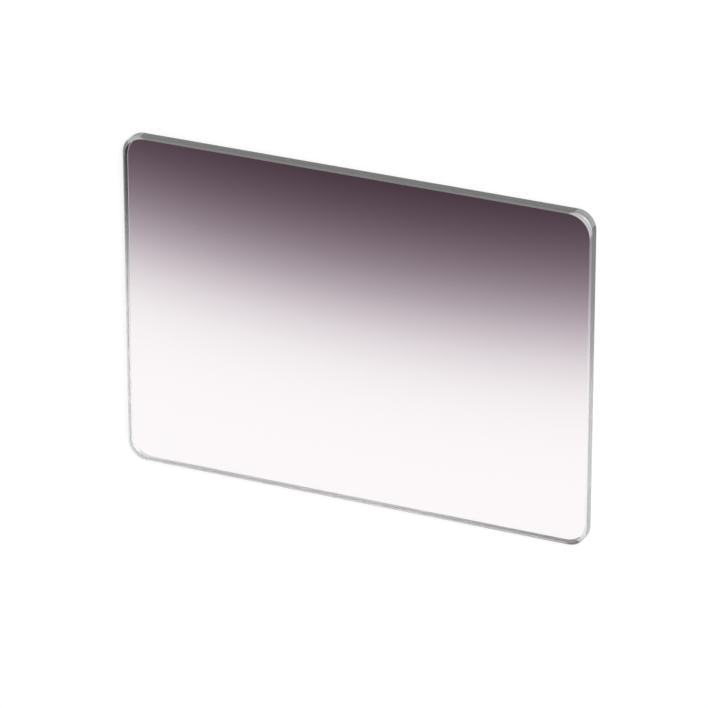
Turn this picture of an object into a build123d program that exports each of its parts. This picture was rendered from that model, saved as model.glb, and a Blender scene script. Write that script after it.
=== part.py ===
from build123d import *
import os

# Graduated grey filter: one flat plate of optical glass for the tray of a matte box.
# It lies on its back face. X runs along the long side, Y points at the dark edge and
# Z leaves the front face. The origin is the middle of the back face. All sizes in mm.

plate_length = 143.5    # long side, 5.65 inch format
plate_width = 101.6     # short side, 4 inch, from the clear edge to the dark edge
plate_thickness = 4.0   # polished back face to polished front face
corner_radius = 5.5     # rounding of the wall at the four corners, seen from the front
edge_bevel = 0.5        # leg of the 45 degree ground bevel along the straight sides
corner_easing = 1.0     # how much larger a polished face's corner radius is than the wall's


def outline(height, inset, radius):
    # The plate's rounded rectangle at one height, drawn in from the wall by the inset
    with BuildSketch(Plane.XY.offset(height)) as section:
        RectangleRounded(plate_length - 2 * inset, plate_width - 2 * inset, radius)
    return section.sketch


with BuildPart() as plate:
    # The wall, square to both faces
    add(outline(edge_bevel, 0, corner_radius))
    extrude(amount=plate_thickness - 2 * edge_bevel)

    # The bevels, ruled from the wall's outline to the outline of each polished face. Round the
    # corners, which are ground apart from the sides, they flatten to about twice their width.
    for wall_end, polished_face in ((edge_bevel, 0), (plate_thickness - edge_bevel, plate_thickness)):
        loft(
            [outline(wall_end, 0, corner_radius),
             outline(polished_face, edge_bevel, corner_radius + corner_easing)],
            ruled=True,
        )

filter_plate = plate.part.solid()

os.makedirs("parts", exist_ok=True)
export_step(filter_plate, "parts/filter_plate.step")
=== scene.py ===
import bpy
import math
import numpy as np
from mathutils import Matrix, Vector


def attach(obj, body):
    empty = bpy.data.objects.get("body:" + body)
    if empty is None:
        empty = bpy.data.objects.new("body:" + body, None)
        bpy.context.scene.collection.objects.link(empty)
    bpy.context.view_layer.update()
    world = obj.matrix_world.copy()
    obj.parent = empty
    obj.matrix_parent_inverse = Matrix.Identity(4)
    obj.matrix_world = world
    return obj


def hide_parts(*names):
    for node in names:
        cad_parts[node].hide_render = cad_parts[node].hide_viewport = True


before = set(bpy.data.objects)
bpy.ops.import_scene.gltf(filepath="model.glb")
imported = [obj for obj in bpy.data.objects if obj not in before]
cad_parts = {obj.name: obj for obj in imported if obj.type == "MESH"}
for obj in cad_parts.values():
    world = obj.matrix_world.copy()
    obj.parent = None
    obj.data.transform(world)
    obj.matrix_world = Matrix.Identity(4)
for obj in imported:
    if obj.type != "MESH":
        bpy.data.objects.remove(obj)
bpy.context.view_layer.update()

# Graduated grey filter: one glass plate lying on its back face, dark along one long side.
# X runs along the long side, Y points at the dark edge, Z leaves the front face. Metres.


def newMaterial(name):
    # An empty node material and its output
    material = bpy.data.materials.new(name)
    material.use_nodes = True
    nodes = material.node_tree.nodes
    nodes.clear()
    return material, nodes.new("ShaderNodeOutputMaterial")


def wire(owner, source, target):
    # Links two sockets of a material or of the world
    owner.node_tree.links.new(source, target)


def maths(owner, operation, *values):
    # One Math node: each value is a number or the socket that feeds it
    node = owner.node_tree.nodes.new("ShaderNodeMath")
    node.operation = operation
    for socket, value in zip(node.inputs, values):
        if isinstance(value, (int, float)):
            socket.default_value = value
        else:
            wire(owner, value, socket)
    return node.outputs[0]


def remap(owner, value, low, high, newLow, newHigh):
    # Carries low..high over to newLow..newHigh in a straight line and holds the ends
    node = owner.node_tree.nodes.new("ShaderNodeMapRange")
    wire(owner, value, node.inputs["Value"])
    for name, number in (("From Min", low), ("From Max", high), ("To Min", newLow), ("To Max", newHigh)):
        node.inputs[name].default_value = number
    return node.outputs["Result"]


noiseRange = (0.3, 0.7)  # nearly all of a noise texture lies between these


plateUser = {
    "length": 0.1435,        # long side
    "width": 0.1016,         # short side
    "thickness": 0.004,
    "cornerRadius": 0.0055,  # of the wall
    "cornerEasing": 0.001,   # how much larger a face's corner radius is, which widens the bevel there
    "bevel": 0.0005,         # leg of the ground bevel, at 45 degrees
    "bevelWander": 0.00003,  # how far the bevel's leg strays along the edge, in waves as follows:
    "waves": ((5, 0.5, 0.7), (13, 0.3, 2.1), (31, 0.2, 0.0)),  # count round the rim, share, phase
    "rounding": 0.00006,     # radius that breaks the sharp edges of the section
    "cornerRounding": 0.0003,  # the same between wall and bevel in the middle of a corner
    "lowerReach": 0.76,      # how far round the corners the clear edge's painted shade goes, as -sin(angle)
    "cornerStart": 0.26,     # where the dark right corner's wall takes its painted light, as sin(angle)
    "sideReach": 0.7,        # how far round the corners the side walls' painted light and shade goes, as cos(angle)
    "margin": 0.0001,        # strip beside the bevel that the back's film leaves bare
    "straightSteps": 96,     # columns along each straight side
    "cornerSteps": 28,       # columns round each corner
    "bendSteps": 4,          # rows round each rounded edge of the section
    "wallSteps": 6,          # rows up the wall
    "faceRings": 10,         # rings from a face's middle to its rim
}

zoneNames = ["clearFace", "groundBevel", "groundArris", "groundWall", "coatedBevel", "coatedFace",
             "litCornerBevel", "cornerArris", "litCornerWall", "shadedLowerWall", "shadedLowerBevel", "sideWall"]
(face, bevel, arris, wall, backBevel, backFace,
 litCornerBevel, cornerArris, litCornerWall, shadedLowerWall, shadedLowerBevel, sideWall) = range(len(zoneNames))


def outlinePath(user):
    # Walks round the plate anticlockwise from the right side, and gives each column its sides and
    # its direction out. sides is (1, 1) at the first corner, (-1, 1) at the next and so on, and
    # slides between them along a straight side by (1 - cos) / 2, which packs columns near the
    # corners.
    corners = np.array([(1, 1), (-1, 1), (-1, -1), (1, -1)])
    slide = (1 - np.cos(np.linspace(0, math.pi, user["straightSteps"] + 1)[1:-1, None])) / 2
    sides, outs, onCorner = [], [], []
    for k, here in enumerate(corners):
        there = corners[(k + 1) % 4]
        angle = np.linspace(k, k + 1, user["cornerSteps"] + 1) * math.pi / 2
        turn = np.stack([np.cos(angle), np.sin(angle)], 1)
        sides += [here + 0 * turn, here + (there - here) * slide]
        outs += [turn, turn[-1] + 0 * slide]
        onCorner += [np.arange(len(angle)) < len(angle) - 1, np.zeros(len(slide), bool)]
    return np.concatenate(sides), np.concatenate(outs), np.concatenate(onCorner)


def outlinePoints(user, sides, outs, inset, leg):
    # The outline drawn in by the inset: a point is sides * (half the plate - inset - radius) +
    # radius * out. The radius grows by the easing from the wall to the face's rim, at inset leg,
    # and shrinks with the inset from there on.
    half = np.array([user["length"], user["width"]]) / 2
    grown = user["cornerRadius"] + user["cornerEasing"] * np.minimum(inset / leg, 1)
    radius = grown - np.maximum(inset - leg, 0)
    return sides * (half - (inset + radius)[..., None]) + radius[..., None] * outs


def plateSection(user, leg, corner):
    # The section from the front face's rim to the back face's, as inset and height at every
    # column. leg is the bevel's size there, and corner goes from 0 on a side to 1 in the middle of
    # a corner. A sharp edge becomes a 45 degree bend of the rounding radius r: its points are
    # r (sin(angle) - tan(22.5 degrees)) along the way in and r (1 - cos(angle)) into the glass.
    # Also gives the zone that each row starts.
    none = 0 * leg
    top = user["thickness"] + none
    small = user["rounding"] + none
    large = small + (user["cornerRounding"] - user["rounding"]) * corner
    h = math.sqrt(0.5)
    rows = [(leg + user["margin"], top, face)]

    def bend(inset, height, forward, inward, r, during, after):
        # Adds the rows round the sharp edge at inset and height, in the way in and into the glass
        angles = np.radians(np.linspace(0, 45, user["bendSteps"] + 1))
        for k, angle in enumerate(angles):
            along = r * (math.sin(angle) - math.tan(math.radians(22.5)))
            into = r * (1 - math.cos(angle))
            zone = during if k < user["bendSteps"] else after
            rows.append((inset + along * forward[0] + into * inward[0],
                         height + along * forward[1] + into * inward[1], zone))

    bend(leg, top, (-1, 0), (0, -1), small, bevel, bevel)
    bend(none, top - leg, (-h, -h), (h, -h), large, arris, wall)
    wallTop, wallFoot = rows[-1][1], leg + small
    for share in np.linspace(0, 1, user["wallSteps"] + 1)[1:-1]:
        rows.append((none, wallTop * (1 - share) + wallFoot * share, wall))
    bend(none, leg, (0, -1), (1, 0), small, backBevel, backBevel)
    bend(leg, none, (h, -h), (h, h), small, backBevel, face)
    rows.append((leg + user["margin"], none, backFace))
    insets, heights, zones = zip(*rows)
    return np.stack(insets), np.stack(heights), list(zones)


def buildPlate(user):
    # Carries the section along the outline, then shrinks each face's rim to the middle: ring k of
    # n is k / n of the rim. Rows run from the front's middle over the edge to the back's, columns
    # anticlockwise, which turns every face outwards.
    sides, outs, onCorner = outlinePath(user)
    columns = len(sides)
    sweep = np.linspace(0, 2 * math.pi, columns, endpoint=False)
    wander = sum(part * np.sin(count * sweep + phase) for count, part, phase in user["waves"])
    leg = user["bevel"] + user["bevelWander"] * wander
    corner = (2 * outs[:, 0] * outs[:, 1]) ** 2  # sin(2 angle) squared
    inset, height, zones = plateSection(user, leg, corner)
    section = np.concatenate([outlinePoints(user, sides, outs, inset, leg), height[..., None]], 2)
    share = np.linspace(0, 1, user["faceRings"] + 1)[1:-1, None, None] * [1, 1, 0] + [0, 0, 1]
    rows = np.concatenate([section[0] * share, section, section[-1] * share[::-1]])
    zones = np.array([face] * len(share) + zones + [backFace] * len(share))
    middles = np.array([[0, 0, user["thickness"]], [0, 0, 0]])
    points = np.concatenate([rows.reshape(-1, 3), middles])

    grid = np.arange(len(rows) * columns).reshape(-1, columns)
    side = np.roll(grid, -1, 1)
    quads = np.stack([grid[:-1], grid[1:], side[1:], side[:-1]], 2).reshape(-1, 4)
    frontFan = np.stack([np.full(columns, len(points) - 2), grid[0], side[0]], 1)
    backFan = np.stack([np.full(columns, len(points) - 1), side[-1], grid[-1]], 1)
    faces = quads.tolist() + frontFan.tolist() + backFan.tolist()
    # The corners' bevel and wall carry painted light, and their arris a smoother finish, as far as the
    # diagonal from upper left to lower right; the clear edge carries painted shade and the side walls
    # painted light and shade
    bands = np.repeat(zones[:-1, None], columns, 1)
    onCorner = onCorner & (outs[:, 0] + outs[:, 1] > 0)
    onCornerWall = onCorner & ((outs[:, 1] < 0) | (outs[:, 1] > user["cornerStart"]))
    onSide = np.abs(outs[:, 0]) > user["sideReach"]
    onLower = outs[:, 1] < -user["lowerReach"]
    for plain, special, where in ((bevel, litCornerBevel, onCorner), (arris, cornerArris, onCorner),
                                  (wall, litCornerWall, onCornerWall), (bevel, shadedLowerWall, onLower),
                                  (arris, shadedLowerWall, onLower), (wall, shadedLowerWall, onLower),
                                  (backBevel, shadedLowerBevel, onLower), (wall, sideWall, onSide)):
        bands = np.where((bands == plain) & where, special, bands)
    slots = np.concatenate([bands.reshape(-1), np.full(columns, face), np.full(columns, backFace)])

    mesh = bpy.data.meshes.new("filterPlate")
    mesh.from_pydata(points.tolist(), [], faces)
    mesh.polygons.foreach_set("material_index", slots.astype(np.int32))
    mesh.polygons.foreach_set("use_smooth", np.ones(len(faces), bool))

    # Edge grain: the length walked round the rim, wound on a circle of that length so that it
    # closes, and as the third number the length down the section from the front face's rim
    wallLine = outlinePoints(user, sides, outs, 0 * leg, leg)
    walked = np.concatenate([[0], np.cumsum(np.linalg.norm(np.diff(wallLine, axis=0), axis=1))])
    ringRadius = (walked[-1] + np.linalg.norm(wallLine[0] - wallLine[-1])) / (2 * math.pi)
    grain = np.zeros((len(points), 3))
    ring = ringRadius * np.stack([np.cos(walked / ringRadius), np.sin(walked / ringRadius)], 1)
    grain[:-2, :2] = np.tile(ring, (len(rows), 1))
    down = np.cumsum(np.linalg.norm(np.diff(rows, axis=0, prepend=rows[:1]), axis=2), 0)
    grain[:-2, 2] = (down - down[len(share)]).reshape(-1)
    mesh.attributes.new("edgeGrain", "FLOAT_VECTOR", "POINT").data.foreach_set(
        "vector", grain.astype(np.float32).reshape(-1))
    mesh.update()
    plate = bpy.data.objects.new("filter_plate_glass", mesh)
    bpy.context.scene.collection.objects.link(plate)
    return plate


glassUser = {
    "ior": 1.5,
    "faceTint": (0.998, 0.93, 0.95),  # colour of the front, which the shader takes the root of
    "filmThickness": 106,      # nanometres, a quarter of a green wave: it cuts the mirror image
    "filmDrift": 8,            # how far the film's thickness strays over the face
    "filmIor": 1.3,
    "filmCloud": 14,           # how quickly it strays, per metre
    "slope": 30.67,            # rise of the grey's density for each metre towards the dark edge
    "start": 0.00466,          # where the rise would begin if it had no knee
    "knee": 0.00897,           # how softly it begins
    "bow": 0.857,              # how the lines of equal density sag towards the ends, per metre
    "bowCentre": 0.0112,
    "shares": (0.872, 1.0, 0.907),  # share of the density that red, green and blue meet
    "groundShares": (0.93, 0.93, 0.93),  # the same over the ground edges, where it looks neutral
}


def clearFace(user):
    # Polished front face under its anti-reflection film, whose thickness drifts slowly
    material, out = newMaterial("clearFace")
    nodes = material.node_tree.nodes
    cloud = nodes.new("ShaderNodeTexNoise")
    cloud.inputs["Scale"].default_value = user["filmCloud"]
    wire(material, nodes.new("ShaderNodeTexCoord").outputs["Object"], cloud.inputs["Vector"])
    glass = nodes.new("ShaderNodeBsdfPrincipled")
    glass.inputs["Base Color"].default_value = user["faceTint"] + (1,)
    glass.inputs["Roughness"].default_value = 0.0
    glass.inputs["IOR"].default_value = user["ior"]
    glass.inputs["Transmission Weight"].default_value = 1.0
    glass.inputs["Thin Film IOR"].default_value = user["filmIor"]
    thin, thick = user["filmThickness"] - user["filmDrift"], user["filmThickness"] + user["filmDrift"]
    wire(material, remap(material, cloud.outputs["Fac"], *noiseRange, thin, thick),
         glass.inputs["Thin Film Thickness"])
    wire(material, glass.outputs[0], out.inputs["Surface"])
    return material


def coatColour(material, user, power, shares):
    # What the grey film on the back lets through, raised to power. Its density is slope * knee *
    # ln(1 + e^((y - start) / knee)), flat below the start and a straight ramp above, with y
    # lowered by bow * (x - centre)^2, and each colour passes 10^-(density * its share).
    nodes = material.node_tree.nodes
    place = nodes.new("ShaderNodeSeparateXYZ")
    wire(material, nodes.new("ShaderNodeTexCoord").outputs["Object"], place.inputs[0])
    off = maths(material, "SUBTRACT", place.outputs["X"], user["bowCentre"])
    sag = maths(material, "MULTIPLY", maths(material, "MULTIPLY", off, off), user["bow"])
    above = maths(material, "SUBTRACT", maths(material, "SUBTRACT", place.outputs["Y"], sag), user["start"])
    rise = maths(material, "EXPONENT", maths(material, "DIVIDE", above, user["knee"]))
    soft = maths(material, "LOGARITHM", maths(material, "ADD", rise, 1.0), math.e)
    colour = nodes.new("ShaderNodeCombineColor")
    for channel, share in enumerate(shares):
        less = maths(material, "MULTIPLY", soft, -power * share * user["slope"] * user["knee"])
        wire(material, maths(material, "POWER", 10.0, less), colour.inputs[channel])
    return colour.outputs[0]


def coatedFace(user):
    # Polished back face under the grey film, which also dims what the face mirrors inside
    material, out = newMaterial("coatedFace")
    glass = material.node_tree.nodes.new("ShaderNodeBsdfGlass")
    wire(material, coatColour(material, user, 1, user["shares"]), glass.inputs["Color"])
    glass.inputs["Roughness"].default_value = 0.0
    glass.inputs["IOR"].default_value = user["ior"]
    wire(material, glass.outputs[0], out.inputs["Surface"])
    return material


edgeUser = {
    "grainScale": 25,          # of the wheel lines, per metre along the rim
    "grainStretch": 70,        # how much quicker they change across it
    "grainDetail": 4,
    "grainRoughness": 0.6,     # weight of its finer lines
    "roughnessSpread": 0.08,   # how far the lines carry the roughness either way
    "bumpStrength": 0.5,
    "lowerTone": (0.94, 1.0, 0.97),  # of the clear edge, against the pink of the face above it
    "dimFrom": 0.02,           # where along X the clear edge's painted shade starts to deepen
    "dimTo": 0.06,
    "paleFrom": -0.07,         # the same for its left end, where the painted shade is lighter
    "paleTo": -0.052,
    "paleGain": 1.45,
    # Each finish: grey, share that passes through, roughness, contrast and depth of the lines, power of the
    # film's gradient over it (painted shade, on the back bevel also the film), painted shade towards the
    # right end
    "groundBevel": (0.92, 0.78, 0.5, 0.1, 0.00002, 0.1, 0),
    "groundArris": (0.92, 0.78, 0.5, 0.1, 0.00002, 0.1, 0),
    "groundWall": (0.9, 0.7, 0.3, 0.05, 0.000005, 0.35, 0),
    # Left and right walls: lighter grey and a deeper film gradient than the top wall: painted light and
    # shade
    "sideWall": (0.95, 0.7, 0.3, 0.05, 0.000005, 0.48, 0),
    # The corners' bevel and wall: more diffuse grey and no darkening by the film's gradient, so they read
    # lighter: painted light
    "litCornerBevel": (0.68, 0.45, 0.6, 0.1, 0.00002, 0, 0),
    "cornerArris": (0.9, 0.4, 0.25, 0.05, 0.00001, 0, 0),
    "litCornerWall": (0.7, 0.45, 0.6, 0.5, 0.00002, 0, 0),
    "coatedBevel": (0.95, 0.95, 0.3, 0.05, 0.00001, 3, 0),
    # The clear edge's wall and bevel: darker greys than the rest, painted shade along that edge
    "shadedLowerWall": (0.65, 0.7, 0.4, 0.1, 0.00002, 0, 0.6),
    "shadedLowerBevel": (0.58, 0.6, 0.6, 0.1, 0.00002, 2, 0.6),
}


def groundGlass(user, coat, name):
    # Ground edge: frosted glass with fine lines left by the wheel, which run along the edge.
    # The lines are noise on the grain coordinates, slow along the rim and quick across it. The
    # colour is grey plus or minus contrast with the noise, times the film's gradient raised to its power,
    # which is painted shade and on the back bevel also the film. The clear edge's is also multiplied by
    # painted shade, deeper to the right and lighter at the left, and by its tone.
    grey, passes, rough, contrast, depth, filmShadePower, shadeLoss = user[name]
    material, out = newMaterial(name)
    nodes = material.node_tree.nodes
    grain = nodes.new("ShaderNodeAttribute")
    grain.attribute_name = "edgeGrain"
    drawn = nodes.new("ShaderNodeMapping")
    drawn.inputs["Scale"].default_value = (1, 1, user["grainStretch"])
    wire(material, grain.outputs["Vector"], drawn.inputs["Vector"])
    lines = nodes.new("ShaderNodeTexNoise")
    lines.inputs["Scale"].default_value = user["grainScale"]
    lines.inputs["Detail"].default_value = user["grainDetail"]
    lines.inputs["Roughness"].default_value = user["grainRoughness"]
    wire(material, drawn.outputs[0], lines.inputs["Vector"])
    shade = remap(material, lines.outputs["Fac"], *noiseRange, grey - contrast, grey + contrast)
    # Painted shade on the clear edge: deeper towards the right end, lighter towards the left end
    if shadeLoss:
        place = nodes.new("ShaderNodeSeparateXYZ")
        wire(material, nodes.new("ShaderNodeTexCoord").outputs["Object"], place.inputs[0])
        fall = remap(material, place.outputs["X"], user["dimFrom"], user["dimTo"], 1, 1 - shadeLoss)
        gain = remap(material, place.outputs["X"], user["paleFrom"], user["paleTo"], user["paleGain"], 1)
        shade = maths(material, "MULTIPLY", maths(material, "MULTIPLY", shade, fall), gain)
    tone = nodes.new("ShaderNodeCombineColor")
    for channel, share in enumerate(user["lowerTone"] if shadeLoss else (1, 1, 1)):
        wire(material, maths(material, "MULTIPLY", shade, share), tone.inputs[channel])
    colour = tone.outputs[0]
    if filmShadePower:                      # the film's gradient darkens this strip: painted shade, and on the back bevel also the film
        film = nodes.new("ShaderNodeVectorMath")
        film.operation = "MULTIPLY"
        wire(material, colour, film.inputs[0])
        wire(material, coatColour(material, coat, filmShadePower, coat["groundShares"]), film.inputs[1])
        colour = film.outputs[0]
    glass = nodes.new("ShaderNodeBsdfPrincipled")
    wire(material, colour, glass.inputs["Base Color"])
    spread = user["roughnessSpread"]
    wire(material, remap(material, lines.outputs["Fac"], *noiseRange, rough - spread, rough + spread),
         glass.inputs["Roughness"])
    glass.inputs["IOR"].default_value = coat["ior"]
    glass.inputs["Transmission Weight"].default_value = passes
    bump = nodes.new("ShaderNodeBump")
    bump.inputs["Strength"].default_value = user["bumpStrength"]
    bump.inputs["Distance"].default_value = depth
    wire(material, lines.outputs["Fac"], bump.inputs["Height"])
    wire(material, bump.outputs[0], glass.inputs["Normal"])
    wire(material, glass.outputs[0], out.inputs["Surface"])
    return material


plate = buildPlate(plateUser)
finishes = {"clearFace": clearFace(glassUser), "coatedFace": coatedFace(glassUser)}
finishes.update({name: groundGlass(edgeUser, glassUser, name) for name in zoneNames if name in edgeUser})
for name in zoneNames:
    plate.data.materials.append(finishes[name])
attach(plate, "root")
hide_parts("filter_plate")
print("plate:", len(plate.data.polygons), "faces,", len(zoneNames), "finishes")


stageUser = {
    "floorSize": 12.0,
    "floorDrop": 0.00002,    # how far the floor lies below the plate, so that they don't touch
    "litShare": 0.3,         # how much of the floor's white comes from the lamps
    "floorWhite": 1.02,      # the lit and the glowing share together
    "worldLow": 0.75,        # light from near the horizon
    "worldHigh": 0.6,        # light from overhead
    "worldTurn": 0.8,        # height of the direction, 0 level and 1 straight up, that has all of it
    "lamps": {               # place, side of the square in metres, power in watts
        "keyLamp": ((0.9, 0.9, 1.4), 0.9, 26),
        "fillLamp": ((1.2, -0.9, 1.0), 0.8, 6),
    },
}


def floorMaterial(user):
    # White floor. Straight from the camera it is part lit, which keeps the shadow, and part
    # glowing, and seen through the glass or mirrored it is plain white.
    material, out = newMaterial("paleFloor")
    nodes = material.node_tree.nodes
    path = nodes.new("ShaderNodeLightPath")
    lit = nodes.new("ShaderNodeBsdfDiffuse")
    lit.inputs["Color"].default_value = (user["litShare"],) * 3 + (1,)
    glow = nodes.new("ShaderNodeEmission")
    glowShare = user["floorWhite"] - user["litShare"]
    seenGlow = maths(material, "MULTIPLY", path.outputs["Is Camera Ray"], glowShare)
    wire(material, seenGlow, glow.inputs["Strength"])
    both = nodes.new("ShaderNodeAddShader")
    wire(material, lit.outputs[0], both.inputs[0])
    wire(material, glow.outputs[0], both.inputs[1])
    white = nodes.new("ShaderNodeEmission")
    choose = nodes.new("ShaderNodeMixShader")
    throughGlass = maths(material, "MAXIMUM", path.outputs["Is Transmission Ray"],
                         path.outputs["Is Glossy Ray"])
    wire(material, throughGlass, choose.inputs[0])
    wire(material, both.outputs[0], choose.inputs[1])
    wire(material, white.outputs[0], choose.inputs[2])
    wire(material, choose.outputs[0], out.inputs["Surface"])
    return material


def addFloor(user):
    # One square, its corners anticlockwise so that it faces up
    half = user["floorSize"] / 2
    corners = [(-half, -half, 0), (half, -half, 0), (half, half, 0), (-half, half, 0)]
    mesh = bpy.data.meshes.new("floor")
    mesh.from_pydata(corners, [], [(0, 1, 2, 3)])
    floor = bpy.data.objects.new("floor", mesh)
    floor.data.materials.append(floorMaterial(user))
    bpy.context.scene.collection.objects.link(floor)
    floor.location.z = -user["floorDrop"]


def addLamp(name, place, size, power):
    # A square softbox at place, turned to the plate. It lights the plate but isn't mirrored in it:
    # the polished faces would show it as a hard patch.
    lamp = bpy.data.lights.new(name, "AREA")
    lamp.size = size
    lamp.energy = power
    lamp.cycles.use_multiple_importance_sampling = False
    holder = bpy.data.objects.new(name, lamp)
    holder.location = place
    holder.rotation_euler = (-Vector(place)).to_track_quat("-Z", "Y").to_euler()
    bpy.context.scene.collection.objects.link(holder)


def setWorld(user):
    # Studio: light falls off from the horizon to overhead, and the camera sees plain white
    world = bpy.data.worlds.new("studio")
    bpy.context.scene.world = world
    world.use_nodes = True
    nodes = world.node_tree.nodes
    nodes.clear()
    out = nodes.new("ShaderNodeOutputWorld")
    sky = nodes.new("ShaderNodeBackground")
    up = nodes.new("ShaderNodeSeparateXYZ")
    wire(world, nodes.new("ShaderNodeTexCoord").outputs["Generated"], up.inputs[0])
    strength = remap(world, up.outputs["Z"], 0.0, user["worldTurn"], user["worldLow"], user["worldHigh"])
    path = nodes.new("ShaderNodeLightPath")
    wire(world, maths(world, "MAXIMUM", strength, path.outputs["Is Camera Ray"]), sky.inputs["Strength"])
    wire(world, sky.outputs[0], out.inputs["Surface"])


cameraUser = {
    "lens": 268.12,                            # mm, for a 36 mm wide sensor
    "aim": (-0.00142, -0.00611, 0.0),
    "direction": (0.37575, 0.418, 0.8271),  # from the aim to the camera
    "distance": 1.4932,
    "roll": 0.064,                             # degrees
}


def addCamera(user):
    # Looks down on the lying plate, with the dark edge up in the picture
    data = bpy.data.cameras.new("camera")
    data.lens = user["lens"]
    data.sensor_width = 36
    camera = bpy.data.objects.new("camera", data)
    away = Vector(user["direction"]).normalized()
    right = Vector((0, 1, 0)).cross(away).normalized()
    turn = Matrix((right, away.cross(right), away)).transposed().to_4x4()
    spin = Matrix.Rotation(math.radians(-user["roll"]), 4, "Z")
    camera.matrix_world = Matrix.Translation(Vector(user["aim"]) + away * user["distance"]) @ turn @ spin
    bpy.context.scene.collection.objects.link(camera)
    bpy.context.scene.camera = camera


addFloor(stageUser)
setWorld(stageUser)
for lampName, (lampPlace, lampSize, lampPower) in stageUser["lamps"].items():
    addLamp(lampName, lampPlace, lampSize, lampPower)
addCamera(cameraUser)
scene = bpy.context.scene
scene.view_settings.view_transform = "Standard"
scene.cycles.max_bounces = 48          # light runs far along the inside of a glass plate
scene.cycles.glossy_bounces = 40
scene.cycles.transmission_bounces = 24
print("stage, lamps and camera set")
